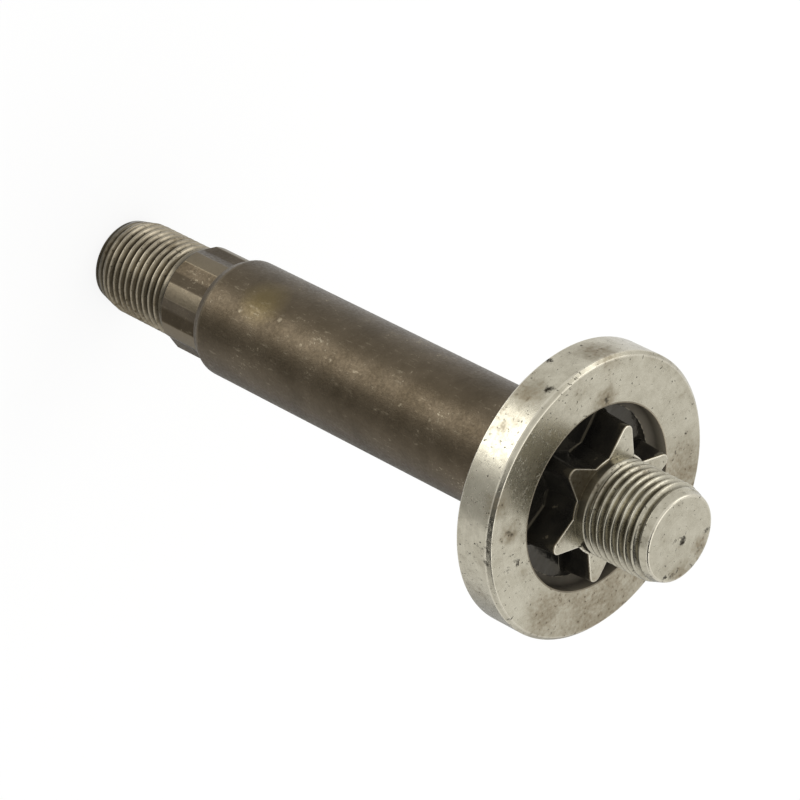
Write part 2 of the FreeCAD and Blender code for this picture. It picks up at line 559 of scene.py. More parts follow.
@dataclass(frozen=True)
class Corner:
    """One corner of a turned profile.

    Attributes:
        radius: Distance from the axis.
        height: Height above the base.
        ease: Radius that breaks the corner, or rounds it as a fillet.
        wear_and_shade: How bare the corner is rubbed, or below 0 how much painted shade it gets.
        step: Spacing of the rings on the run after the corner, or 0 for none.
    """

    radius: float
    height: float
    ease: float = 0.0
    wear_and_shade: float = 0.0
    step: float = 0.0

    def flat(self) -> Vector:
        """Returns the corner as a point of the profile."""
        return Vector((self.radius, self.height))


@dataclass
class Strip:
    """Rings of points that are joined by faces, in mm.

    Attributes:
        points: Every point.
        faces: Corner indexes of every face.
        wear_and_shade: How bare each point is rubbed, or below 0 how much painted shade it gets.
    """

    points: list[Point]
    faces: list[tuple[int, ...]]
    wear_and_shade: list[float]

    def to_object(self, name: str) -> bpy.types.Object:
        """Makes a scratch object from the strip.

        Args:
            name: Name of the object.

        Returns:
            The object, linked to the scene.
        """
        mesh = bpy.data.meshes.new(name)
        mesh.from_pydata(self.points, [], self.faces)
        mesh.attributes.new("wear_and_shade", "FLOAT", "POINT").data.foreach_set("value", self.wear_and_shade)
        return add_object(name, mesh)


def loft(rings: list[list[Point]], wear_and_shade: list[list[float]], closed: bool) -> Strip:
    """Joins rings of points by faces.

    Args:
        rings: Points of each ring. A ring of one point is a pole.
        wear_and_shade: How bare each of those points is rubbed, or below 0 how much painted shade it gets.
        closed: Whether each ring meets itself.

    Returns:
        The strip.
    """
    points: list[Point] = []
    starts: list[int] = []
    for ring in rings:
        starts.append(len(points))
        points += ring
    faces: list[tuple[int, ...]] = []
    for (low, a), (high, b) in zip(zip(rings, starts), zip(rings[1:], starts[1:])):
        count = max(len(low), len(high))
        for column in range(count if closed else count - 1):
            after = (column + 1) % count
            if len(low) == 1:
                faces.append((a, b + column, b + after))
            elif len(high) == 1:
                faces.append((a + column, b, a + after))
            else:
                faces.append((a + column, b + column, b + after, a + after))
    return Strip(points, faces, [value for ring in wear_and_shade for value in ring])


def eased(corners: list[Corner]) -> list[ProfilePoint]:
    """Rounds the corners of a profile and fills its long runs.

    Args:
        corners: Corners of the profile, in order.

    Returns:
        Radius, height and wear of each point of the finished profile, where wear below 0 is painted shade.
    """
    runs: list[list[ProfilePoint]] = []
    for index, corner in enumerate(corners):
        here = corner.flat()
        if corner.ease == 0.0:
            runs.append([(here.x, here.y, corner.wear_and_shade)])
            continue
        back = (corners[index - 1].flat() - here).normalized()
        onward = (corners[index + 1].flat() - here).normalized()
        half = back.angle(onward) / 2
        reach = corner.ease / math.tan(half)
        centre = here + (back + onward).normalized() * (corner.ease / math.sin(half))
        start, end = here + back * reach - centre, here + onward * reach - centre
        first_angle = math.atan2(start.y, start.x)
        sweep = (math.atan2(end.y, end.x) - first_angle + math.pi) % (2 * math.pi) - math.pi
        steps = max(3, math.ceil(abs(sweep) / ARC_STEP))
        hold = here + back * (reach + EDGE_HOLD)
        # The rings that hold a face flat beside a corner take its painted shade, but not its wear.
        beside = min(corner.wear_and_shade, 0.0)
        run: list[ProfilePoint] = [(hold.x, hold.y, beside)]
        for step in range(steps + 1):
            angle = first_angle + sweep * step / steps
            arc = centre + corner.ease * Vector((math.cos(angle), math.sin(angle)))
            run.append((arc.x, arc.y, corner.wear_and_shade))
        hold = here + onward * (reach + EDGE_HOLD)
        runs.append(run + [(hold.x, hold.y, beside)])
    profile: list[ProfilePoint] = []
    for corner, run, following in zip(corners, runs, runs[1:] + [[]]):
        profile += run
        if corner.step > 0.0:
            start, end = Vector(run[-1][:2]), Vector(following[0][:2])
            count = round((end - start).length / corner.step)
            for step in range(1, count):
                between = start.lerp(end, step / count)
                wear = run[-1][2] + (following[0][2] - run[-1][2]) * step / count
                profile.append((between.x, between.y, wear))
    return profile


def turned(corners: list[Corner]) -> Strip:
    """Turns a profile about the shaft's axis.

    Args:
        corners: Corners of the profile, in order.

    Returns:
        The turned strip.
    """
    rings: list[list[Point]] = []
    wear_and_shade: list[list[float]] = []
    for radius, height, wear in eased(corners):
        if radius == 0.0:
            rings.append([(0.0, 0.0, height)])
        else:
            turns = (2 * math.pi * column / COLUMNS for column in range(COLUMNS))
            rings.append([(radius * math.cos(turn), radius * math.sin(turn), height) for turn in turns])
        wear_and_shade.append([wear] * len(rings[-1]))
    return loft(rings, wear_and_shade, closed=True)


def even_ring(radius: float, height: float, columns: int) -> list[Point]:
    """Places points evenly on an arc that is centred on +X.

    Args:
        radius: Distance from the axis.
        height: Height above the base.
        columns: Number of steps on the arc, of the shaft's even columns.

    Returns:
        The points.
    """
    turns = [2 * math.pi * (column - columns / 2) / COLUMNS for column in range(columns + 1)]
    return [(radius * math.cos(turn), radius * math.sin(turn), height) for turn in turns]


def thread_tree() -> bpy.types.NodeTree:
    """Builds the node tree that cuts a thread into a turned strip.

    Returns:
        The tree, with the thread's sizes as named inputs.
    """
    tree = bpy.data.node_groups.new("cut_thread", "GeometryNodeTree")
    tree.interface.new_socket("Geometry", in_out="INPUT", socket_type="NodeSocketGeometry")
    for name in (
        "Pitch",
        "Depth",
        "Major Radius",
        "Crest",
        "Root",
        "Hand",
        "Run-out Start",
        "Run-out End",
        "Entry Start",
        "Entry End",
    ):
        tree.interface.new_socket(name, in_out="INPUT", socket_type="NodeSocketFloat")
    tree.interface.new_socket("Material", in_out="INPUT", socket_type="NodeSocketMaterial")
    tree.interface.new_socket("Geometry", in_out="OUTPUT", socket_type="NodeSocketGeometry")
    given = add_node(tree, "NodeGroupInput").outputs
    place = add_node(tree, "GeometryNodeInputPosition").outputs[0]
    axes = add_node(tree, "ShaderNodeSeparateXYZ", {0: place}).outputs
    turn = add_node(tree, "ShaderNodeMath", {0: axes["Y"], 1: axes["X"]}, operation="ARCTAN2").outputs[0]
    share = add_node(tree, "ShaderNodeMath", {0: turn, 1: 2 * math.pi}, operation="DIVIDE").outputs[0]
    climb = add_node(tree, "ShaderNodeMath", {0: share, 1: given["Hand"]}, operation="MULTIPLY").outputs[0]
    rise = add_node(tree, "ShaderNodeMath", {0: axes["Z"], 1: given["Pitch"]}, operation="DIVIDE").outputs[0]
    phase = add_node(tree, "ShaderNodeMath", {0: rise, 1: climb}, operation="SUBTRACT").outputs[0]
    saw = add_node(tree, "ShaderNodeMath", {0: phase}, operation="FRACT").outputs[0]
    double = add_node(tree, "ShaderNodeMath", {0: saw, 1: 2.0, 2: -1.0}, operation="MULTIPLY_ADD").outputs[0]
    ridge = add_node(tree, "ShaderNodeMath", {0: double}, operation="ABSOLUTE").outputs[0]
    crest_from = add_node(
        tree, "ShaderNodeMath", {0: 1.0, 1: given["Crest"]}, operation="SUBTRACT"
    ).outputs[0]
    cut = add_node(
        tree,
        "ShaderNodeMapRange",
        {"Value": ridge, "From Min": crest_from, "From Max": given["Root"]},
    ).outputs["Result"]
    fade = add_node(
        tree,
        "ShaderNodeMapRange",
        {"Value": axes["Z"], "From Min": given["Run-out Start"], "From Max": given["Run-out End"]},
        interpolation_type="SMOOTHSTEP",
    ).outputs["Result"]
    entry = add_node(
        tree,
        "ShaderNodeMapRange",
        {"Value": axes["Z"], "From Min": given["Entry Start"], "From Max": given["Entry End"]},
        interpolation_type="SMOOTHSTEP",
    ).outputs["Result"]
    open_share = add_node(tree, "ShaderNodeMath", {0: fade, 1: entry}, operation="MULTIPLY").outputs[0]
    faded = add_node(tree, "ShaderNodeMath", {0: cut, 1: open_share}, operation="MULTIPLY").outputs[0]
    sunk = add_node(tree, "ShaderNodeMath", {0: faded, 1: given["Depth"]}, operation="MULTIPLY").outputs[0]
    flat = add_node(tree, "ShaderNodeVectorMath", {0: place, 1: (1, 1, 0)}, operation="MULTIPLY").outputs[0]
    old = add_node(tree, "ShaderNodeVectorMath", {0: flat}, operation="LENGTH").outputs["Value"]
    both = add_node(tree, "ShaderNodeMath", {0: given["Major Radius"], 1: old}, operation="ADD").outputs[0]
    follow = add_node(tree, "ShaderNodeMath", {0: both, 1: 0.5}, operation="MULTIPLY").outputs[0]
    limit = add_node(tree, "ShaderNodeMath", {0: follow, 1: sunk}, operation="SUBTRACT").outputs[0]
    new = add_node(tree, "ShaderNodeMath", {0: old, 1: limit}, operation="MINIMUM").outputs[0]
    drop = add_node(tree, "ShaderNodeMath", {0: new, 1: old}, operation="SUBTRACT").outputs[0]
    outward = add_node(tree, "ShaderNodeVectorMath", {0: flat}, operation="NORMALIZE").outputs[0]
    offset = add_node(tree, "ShaderNodeVectorMath", {0: outward, "Scale": drop}, operation="SCALE").outputs[0]
    sunk_share = add_node(tree, "ShaderNodeMath", {0: drop, 1: given["Depth"]}, operation="DIVIDE").outputs[0]
    groove = add_node(tree, "ShaderNodeMath", {0: sunk_share}, operation="ABSOLUTE").outputs[0]
    noted = add_node(
        tree,
        "GeometryNodeStoreNamedAttribute",
        {"Geometry": given["Geometry"], "Name": "groove", "Value": groove},
        data_type="FLOAT",
        domain="POINT",
    ).outputs[0]
    moved = add_node(tree, "GeometryNodeSetPosition", {"Geometry": noted, "Offset": offset}).outputs[0]
    real = add_node(tree, "GeometryNodeRealizeInstances", {0: moved}).outputs[0]
    dressed = add_node(
        tree, "GeometryNodeSetMaterial", {"Geometry": real, "Material": given["Material"]}
    ).outputs[0]
    add_node(tree, "NodeGroupOutput", {0: dressed})
    return tree


def repeat_tree() -> bpy.types.NodeTree:
    """Builds the node tree that repeats a sector round the shaft's axis.

    Returns:
        The tree, with the count and the materials as named inputs.
    """
    tree = bpy.data.node_groups.new("repeat_round_axis", "GeometryNodeTree")
    tree.interface.new_socket("Geometry", in_out="INPUT", socket_type="NodeSocketGeometry")
    tree.interface.new_socket("Count", in_out="INPUT", socket_type="NodeSocketInt")
    tree.interface.new_socket("Top Height", in_out="INPUT", socket_type="NodeSocketFloat")
    tree.interface.new_socket("Material", in_out="INPUT", socket_type="NodeSocketMaterial")
    tree.interface.new_socket("Top Material", in_out="INPUT", socket_type="NodeSocketMaterial")
    tree.interface.new_socket("Geometry", in_out="OUTPUT", socket_type="NodeSocketGeometry")
    given = add_node(tree, "NodeGroupInput").outputs
    marks = add_node(tree, "GeometryNodePoints", {"Count": given["Count"]}).outputs[0]
    index = add_node(tree, "GeometryNodeInputIndex").outputs[0]
    share = add_node(tree, "ShaderNodeMath", {0: index, 1: given["Count"]}, operation="DIVIDE").outputs[0]
    angle = add_node(tree, "ShaderNodeMath", {0: share, 1: 2 * math.pi}, operation="MULTIPLY").outputs[0]
    turn = add_node(tree, "FunctionNodeAxisAngleToRotation", {"Axis": (0, 0, 1), "Angle": angle}).outputs[0]
    copies = add_node(
        tree,
        "GeometryNodeInstanceOnPoints",
        {"Points": marks, "Instance": given["Geometry"], "Rotation": turn},
    ).outputs[0]
    real = add_node(tree, "GeometryNodeRealizeInstances", {0: copies}).outputs[0]
    place = add_node(tree, "GeometryNodeInputPosition").outputs[0]
    height = add_node(tree, "ShaderNodeSeparateXYZ", {0: place}).outputs["Z"]
    on_top = add_node(
        tree, "ShaderNodeMath", {0: height, 1: given["Top Height"]}, operation="GREATER_THAN"
    ).outputs[0]
    dressed = add_node(
        tree, "GeometryNodeSetMaterial", {"Geometry": real, "Material": given["Material"]}
    ).outputs[0]
    topped = add_node(
        tree,
        "GeometryNodeSetMaterial",
        {"Geometry": dressed, "Selection": on_top, "Material": given["Top Material"]},
    ).outputs[0]
    add_node(tree, "NodeGroupOutput", {0: topped})
    return tree


def run_tree(strip: Strip, name: str, tree: bpy.types.NodeTree, values: dict[str, Any]) -> bpy.types.Mesh:
    """Runs a node tree on a strip and keeps the result as a plain mesh.

    Args:
        strip: Strip that the tree works on.
        name: Name of the result.
        tree: Geometry Nodes tree.
        values: Value of each named input.

    Returns:
        The resulting mesh.
    """
    scratch = strip.to_object(name)
    modifier = scratch.modifiers.new(tree.name, "NODES")
    modifier.node_group = tree
    for item in tree.interface.items_tree:
        if item.in_out == "INPUT" and item.name in values:
            modifier[item.identifier] = values[item.name]
    scratch.update_tag()
    graph = bpy.context.evaluated_depsgraph_get()
    mesh = bpy.data.meshes.new_from_object(scratch.evaluated_get(graph))
    scratch.modifiers.remove(modifier)
    bpy.data.objects.remove(scratch)
    return mesh


@dataclass(frozen=True)
class ThreadForm:
    """A 60 degree thread of 5/8 inch and 18 turns to the inch.

    Attributes:
        major_radius: Radius over the crests.
        pitch: Rise in one turn.
        depth: Depth of the groove.
        crest: Share of the half turn that is flat crest.
        root: Share of the half turn that is flat root.
        hand: Which way it climbs.
        rings: Rings of mesh in one pitch.
    """

    major_radius: float = 7.9375
    pitch: float = 25.4 / 18
    depth: float = 0.82
    crest: float = 0.2
    root: float = 0.14
    hand: Hand = Hand.RIGHT
    rings: int = 14

    @property
    def step(self) -> float:
        """Spacing of the rings."""
        return self.pitch / self.rings

    def cut(
        self,
        strip: Strip,
        name: str,
        tree: bpy.types.NodeTree,
        run_out: tuple[float, float],
        entry: tuple[float, float],
        finish: bpy.types.Material,
    ) -> bpy.types.Mesh:
        """Cuts the thread into a turned strip.

        Args:
            strip: Turned strip.
            name: Name of the result.
            tree: The thread's node tree.
            run_out: Heights where the groove starts and where it has its full depth.
            entry: The same two heights at the end where the nut starts.
            finish: Material of the strip.

        Returns:
            The threaded mesh.
        """
        values = {
            "Pitch": self.pitch,
            "Depth": self.depth,
            "Major Radius": self.major_radius,
            "Crest": self.crest,
            "Root": self.root,
            "Hand": self.hand.value,
            "Run-out Start": run_out[0],
            "Run-out End": run_out[1],
            "Entry Start": entry[0],
            "Entry End": entry[1],
            "Material": finish,
        }
        return run_tree(strip, name, tree, values)


@dataclass(frozen=True)
class PulleyEnd:
    """The threaded end that the shaft stands on.

    Attributes:
        thread: Form of its thread.
        length: Length of the threaded end.
        lead_rise: Rise of the lead for the nut, measured outward.
        lead_length: Length of that lead.
        plain: Plain length left beside the spline.
        entry_turns: Turns over which the groove reaches its depth at the end.
    """

    thread: ThreadForm = ThreadForm()
    length: float = 17.4
    lead_rise: float = 0.95
    lead_length: float = 4.0
    plain: float = 0.2
    entry_turns: float = 0.5

    @property
    def top(self) -> float:
        """Height where the spline starts."""
        return self.length

    def build(self, tree: bpy.types.NodeTree, finishes: Finishes) -> bpy.types.Mesh:
        """Builds and dresses the end.

        Args:
            tree: The thread's node tree.
            finishes: The shaft's materials.

        Returns:
            The mesh, in mm.
        """
        radius, step = self.thread.major_radius, self.thread.step
        profile = [
            Corner(0.0, 0.0),
            # Painted shade darkens the lead at the foot, where the shaft stands on the floor.
            Corner(radius - self.lead_rise, 0.0, ease=0.15, wear_and_shade=-0.9, step=step),
            Corner(radius, self.lead_length, ease=0.5, step=step),
            Corner(radius, self.top - self.plain - self.thread.pitch, step=step),
            # Painted shade darkens the top of the thread, in its corner against the spline.
            Corner(radius, self.top, wear_and_shade=-0.8),
        ]
        start = self.top - self.plain
        run_out = (start, start - self.thread.pitch)
        entry = (0.0, self.entry_turns * self.thread.pitch)
        return self.thread.cut(turned(profile), "pulley_end", tree, run_out, entry, finishes.pulley)


@dataclass(frozen=True)
class PulleySpline:
    """Eight straight teeth that drive the pulley.

    Attributes:
        base: Height where the teeth start.
        thread_radius: Radius of the thread below.
        shoulder_radius: Radius where the shoulder above starts.
        length: Length of the teeth.
        teeth: Number of teeth.
        land: Width of a tooth's round land.
        depth: Depth of the V valley.
        clearance: Height of the valley over the thread.
        lead: Length of the cone that starts the teeth.
        land_wear: How bare the lands are rubbed.
        wall_painted_shade: Below 0, how much painted shade darkens the walls of the valleys.
        shoulder_wear: How bare the foot of the shoulder is rubbed.
        ring_shares: Places of the rings of mesh along a tooth, as shares of its length.
    """

    base: float
    thread_radius: float
    shoulder_radius: float = 9.23
    length: float = 9.2
    teeth: int = 8
    land: float = 2.6
    depth: float = 0.65
    clearance: float = 0.31
    lead: float = 1.1
    land_wear: float = 0.45
    wall_painted_shade: float = -0.22
    shoulder_wear: float = 0.1
    ring_shares: tuple[float, ...] = (0.0, 0.04, 0.5, 1.0)

    @property
    def top(self) -> float:
        """Height of the shoulder."""
        return self.base + self.length

    def section(self) -> list[tuple[float, float, float]]:
        """Gives one tooth's outline.

        Returns:
            Radius, angle and wear of each point, from one valley to the next.
        """
        columns = COLUMNS // self.teeth
        valley = self.thread_radius + self.clearance
        tip = valley + self.depth
        half_land, half_pitch = self.land / (2 * tip), math.pi / self.teeth
        edge = Vector((tip * math.cos(half_land), tip * math.sin(half_land)))
        bottom = Vector((valley * math.cos(half_pitch), valley * math.sin(half_pitch)))
        land_steps = columns // 6
        wall_steps = columns // 2 - land_steps
        side = [(tip, half_land * step / land_steps, self.land_wear) for step in range(land_steps)]
        # The walls of each valley get painted shade.
        for step in range(wall_steps + 1):
            at = edge.lerp(bottom, step / wall_steps)
            side.append((at.length, math.atan2(at.y, at.x), self.land_wear if step == 0 else self.wall_painted_shade))
        return [(radius, -angle, wear_and_shade) for radius, angle, wear_and_shade in reversed(side[1:])] + side

    def build(self, tree: bpy.types.NodeTree, finishes: Finishes) -> bpy.types.Mesh:
        """Builds and dresses the spline.

        Args:
            tree: The node tree that repeats a sector.
            finishes: The shaft's materials.

        Returns:
            The mesh, in mm.
        """
        columns = COLUMNS // self.teeth
        outline = self.section()
        slope = (outline[columns // 2][0] - self.thread_radius) / self.lead
        rings = [even_ring(self.thread_radius, self.base, columns)]
        wear_and_shade = [[0.0] * (columns + 1)]
        started = [
            (radius, angle, self.base + (radius - self.thread_radius) / slope) for radius, angle, _ in outline
        ]
        for share in self.ring_shares:
            rings.append(
                [
                    (radius * math.cos(angle), radius * math.sin(angle), start + share * (self.top - start))
                    for radius, angle, start in started
                ]
            )
            wear_and_shade.append([wear for _, _, wear in outline])
        rings.append(even_ring(self.shoulder_radius, self.top, columns))
        wear_and_shade.append([self.shoulder_wear] * (columns + 1))
        # The whole spline has one finish, so its top gets the same one.
        values = {
            "Count": self.teeth,
            "Top Height": self.top,
            "Material": finishes.oxide,
            "Top Material": finishes.oxide,
        }
        return run_tree(loft(rings, wear_and_shade, closed=False), "pulley_spline", tree, values)


@dataclass(frozen=True)
class Journal:
    """The plain barrel that carries the bearings.

    Attributes:
        base: Height of its shoulder.
        radius: Radius of the barrel.
        length: Length from the shoulder to the flange.
        lead_rise: Rise of the bearing's lead, measured outward.
        lead_length: Length of that lead.
    """

    base: float
    radius: float = 10.0
    length: float = 73.6
    lead_rise: float = 0.77
    lead_length: float = 1.5

    @property
    def top(self) -> float:
        """Height of the flange's back."""
        return self.base + self.length

    def corners(self) -> list[Corner]:
        """Gives the profile from the shoulder up.

        Returns:
            The corners, without the root at the flange.
        """
        return [
            Corner(self.radius - self.lead_rise, self.base, wear_and_shade=0.1),
            Corner(self.radius, self.base + self.lead_length, ease=1.6, wear_and_shade=0.15, step=12.0),
        ]


@dataclass(frozen=True)
class Flange:
    """The recessed flange that the blade is clamped to.

    Attributes:
        base: Height of its back.
        radius: Radius of its rim.
        thickness: Thickness from back to seating face.
        front_chamfer: Chamfer in front.
        back_chamfer: Chamfer behind.
        root: Fillet at the barrel.
        recess_radius: Radius of the recess.
        recess_depth: Depth of the recess.
        recess_fillet: Fillet of the recess floor.
        floor_edge: Radius where the star's floor ends.
        back_band: Width of the bright band at the edge of the back.
        recess_lip: Width of the ring at the recess's edge that has the recess's finish.
    """

    base: float
    radius: float = 23.4
    thickness: float = 6.9
    front_chamfer: float = 0.6
    back_chamfer: float = 0.4
    root: float = 1.0
    recess_radius: float = 15.2
    recess_depth: float = 3.0
    recess_fillet: float = 1.0
    floor_edge: float = 13.95
    back_band: float = 1.0
    recess_lip: float = 0.25

    @property
    def seat(self) -> float:
        """Height of the seating face."""
        return self.base + self.thickness

    @property
    def floor(self) -> float:
        """Height of the recess floor."""
        return self.seat - self.recess_depth

    def build(self, journal: Journal, finishes: Finishes) -> list[tuple[Strip, bpy.types.Material]]:
        """Builds the barrel and the flange as turned strips.

        Args:
            journal: The barrel below.
            finishes: The shaft's materials.

        Returns:
            Each strip with its material, in mm.
        """
        rim_low = self.base + self.back_chamfer
        back = Corner(self.radius - self.back_chamfer - self.back_band, self.base)
        lip = Corner(self.recess_radius + self.recess_lip, self.seat)
        dark = journal.corners() + [Corner(journal.radius, self.base, ease=self.root), back]
        bright = [
            back,
            Corner(self.radius - self.back_chamfer, self.base, ease=0.1, wear_and_shade=0.6),
            Corner(self.radius, rim_low, ease=0.15, wear_and_shade=1.0),
            Corner(self.radius, self.seat - self.front_chamfer, ease=0.3, wear_and_shade=0.6),
            Corner(self.radius - self.front_chamfer, self.seat, ease=0.3, wear_and_shade=0.6),
            lip,
        ]
        recess = [
            lip,
            Corner(self.recess_radius, self.seat, ease=0.08, wear_and_shade=0.5),
            # Painted shade darkens the recess towards its floor.
            Corner(self.recess_radius, self.floor, ease=self.recess_fillet, wear_and_shade=-0.6),
            Corner(self.floor_edge, self.floor, wear_and_shade=-1.0),
        ]
        return [
            (turned(dark), finishes.oxide),
            (turned(bright), finishes.turned),
            (turned(recess), finishes.recess),
        ]


@dataclass(frozen=True)
class BladeStar:
    """The forged star that turns the blade.

    Attributes:
        floor: Height of the recess floor.
        thread_radius: Radius of the thread above.
        floor_edge: Radius where the floor ends.
        rise: Height of the star's top above the floor.
        points: Number of points.
        tip_radius: Radius over the points.
        nose: Radius of a point's round nose.
        valley: Width of the hub between two points.
        hub_margin: Height of the hub over the thread.
        draft: Draft of the flanks, in degrees.
        edge: Radius that breaks the top edge.
        foot: Fillet where the flanks meet the floor.
        edge_steps: Steps of mesh on the broken edge.
        flank_steps: Steps of mesh on a flank.
        foot_steps: Steps of mesh on the fillet.
    """

    floor: float
    thread_radius: float
    floor_edge: float
    rise: float = 5.85
    points: int = 6
    tip_radius: float = 12.7
    nose: float = 1.15
    valley: float = 2.9
    hub_margin: float = 0.3
    draft: float = 4.0
    edge: float = 0.16
    foot: float = 0.5
    edge_steps: int = 3
    flank_steps: int = 5
    foot_steps: int = 4

    @property
    def top(self) -> float:
        """Height of the star's flat top."""
        return self.floor + self.rise

    def outline(self, growth: float, height: float) -> list[Point]:
        """Gives one point of the star, from valley to valley.

        Args:
            growth: How far the outline stands outside the top's outline.
            height: Height above the base.

        Returns:
            The outline's points.
        """
        half_pitch = math.pi / self.points
        hub = self.thread_radius + self.hub_margin
        base_angle = half_pitch - self.valley / (2 * hub)
        nose_x = self.tip_radius - self.nose
        base = Vector((hub * math.cos(base_angle) - nose_x, hub * math.sin(base_angle)))
        tangent = math.atan2(base.y, base.x) - math.acos(self.nose / base.length)
        nose, grown_hub = self.nose + growth, hub + growth
        flank_reach = nose_x * math.cos(tangent) + nose
        foot_angle = tangent - math.acos(flank_reach / grown_hub)
        columns = COLUMNS // self.points // 2
        nose_steps, valley_steps = columns // 3, columns // 4
        flank_steps = columns - nose_steps - valley_steps
        side: list[Vector] = []
        for step in range(nose_steps + 1):
            turn = tangent * step / nose_steps
            side.append(Vector((nose_x + nose * math.cos(turn), nose * math.sin(turn))))
        start = side[-1]
        foot = Vector((grown_hub * math.cos(foot_angle), grown_hub * math.sin(foot_angle)))
        side += [start.lerp(foot, step / flank_steps) for step in range(1, flank_steps + 1)]
        for step in range(1, valley_steps + 1):
            turn = foot_angle + (half_pitch - foot_angle) * step / valley_steps
            side.append(Vector((grown_hub * math.cos(turn), grown_hub * math.sin(turn))))
        near = [(at.x, -at.y, height) for at in reversed(side[1:])]
        return near + [(at.x, at.y, height) for at in side]

    def build(self, tree: bpy.types.NodeTree, finishes: Finishes) -> bpy.types.Mesh:
        """Builds and dresses the star with its floor.

        Args:
            tree: The node tree that repeats a sector.
            finishes: The shaft's materials.

        Returns:
            The mesh, in mm.
        """
        columns = COLUMNS // self.points
        slope = math.tan(math.radians(self.draft))
        levels: list[tuple[float, float, float]] = [(-self.edge - EDGE_HOLD, self.top, 0.0)]
        for step in range(self.edge_steps + 1):
            turn = math.pi / 2 * step / self.edge_steps
            height = self.top - self.edge * (1 - math.cos(turn))
            levels.append((self.edge * (math.sin(turn) - 1), height, 1.0))
        flank_bottom = self.floor + self.foot
        flank_top = self.top - self.edge - EDGE_HOLD
        for step in range(self.flank_steps + 1):
            height = flank_top + (flank_bottom - flank_top) * step / self.flank_steps
            levels.append(((self.top - height) * slope, height, 0.0))
        grown = levels[-1][0]
        for step in range(1, self.foot_steps + 1):
            turn = math.pi / 2 * step / self.foot_steps
            height = flank_bottom - self.foot * math.sin(turn)
            levels.append((grown + self.foot * (1 - math.cos(turn)), height, 0.0))
        rings = [even_ring(self.thread_radius, self.top, columns)]
        rings += [self.outline(growth, height) for growth, height, _ in levels]
        rings.append(even_ring(self.floor_edge, self.floor, columns))
        wear_and_shade = [[wear] * (columns + 1) for wear in [0.0] + [level[2] for level in levels] + [0.0]]
        values = {
            "Count": self.points,
            "Top Height": self.top - 0.5 * self.edge,
            "Material": finishes.scale,
            "Top Material": finishes.turned,
        }
        return run_tree(loft(rings, wear_and_shade, closed=False), "blade_star", tree, values)


@dataclass(frozen=True)
class BladeEnd:
    """The threaded end that clamps the blade.

    Attributes:
        base: Height of the star's top.
        thread: Form of its thread.
        length: Length above the star.
        lead_rise: Rise of the lead for the nut, measured outward.
        lead_length: Length of that lead.
        neck: Smooth length beside the star.
        shade_height: Height above the star of the neck's darkest painted shade.
        entry_from: Turns below the end face at which the groove starts.
        mark_radius: Radius of the lathe centre's mark.
        mark_depth: Depth of that mark.
    """

    base: float
    thread: ThreadForm = ThreadForm()
    length: float = 13.85
    lead_rise: float = 0.95
    lead_length: float = 2.8
    neck: float = 1.1
    shade_height: float = 0.15
    entry_from: float = 0.25
    mark_radius: float = 0.3
    mark_depth: float = 0.15

    def build(self, tree: bpy.types.NodeTree, finishes: Finishes) -> bpy.types.Mesh:
        """Builds and dresses the end.

        Args:
            tree: The thread's node tree.
            finishes: The shaft's materials.

        Returns:
            The mesh, in mm.
        """
        top = self.base + self.length
        radius, step = self.thread.major_radius, self.thread.step
        profile = [
            Corner(0.0, top - self.mark_depth),
            Corner(self.mark_radius, top, ease=0.06),
            # The edge of the end face is rubbed bright, partly real wear and partly a painted highlight.
            Corner(radius - self.lead_rise, top, ease=0.4, wear_and_shade=0.7, step=step),
            Corner(radius, top - self.lead_length, ease=0.2, step=step),
            Corner(radius, self.base + self.neck + self.thread.pitch, step=step),
            # Painted shade darkens the neck in its corner against the star.
            Corner(radius, self.base + self.shade_height, wear_and_shade=-0.5),
            Corner(radius, self.base),
        ]
        start = self.base + self.neck
        run_out = (start, start + self.thread.pitch)
        entry = (top - self.entry_from * self.thread.pitch, top - self.thread.pitch)
        return self.thread.cut(turned(profile), "blade_end", tree, run_out, entry, finishes.turned)


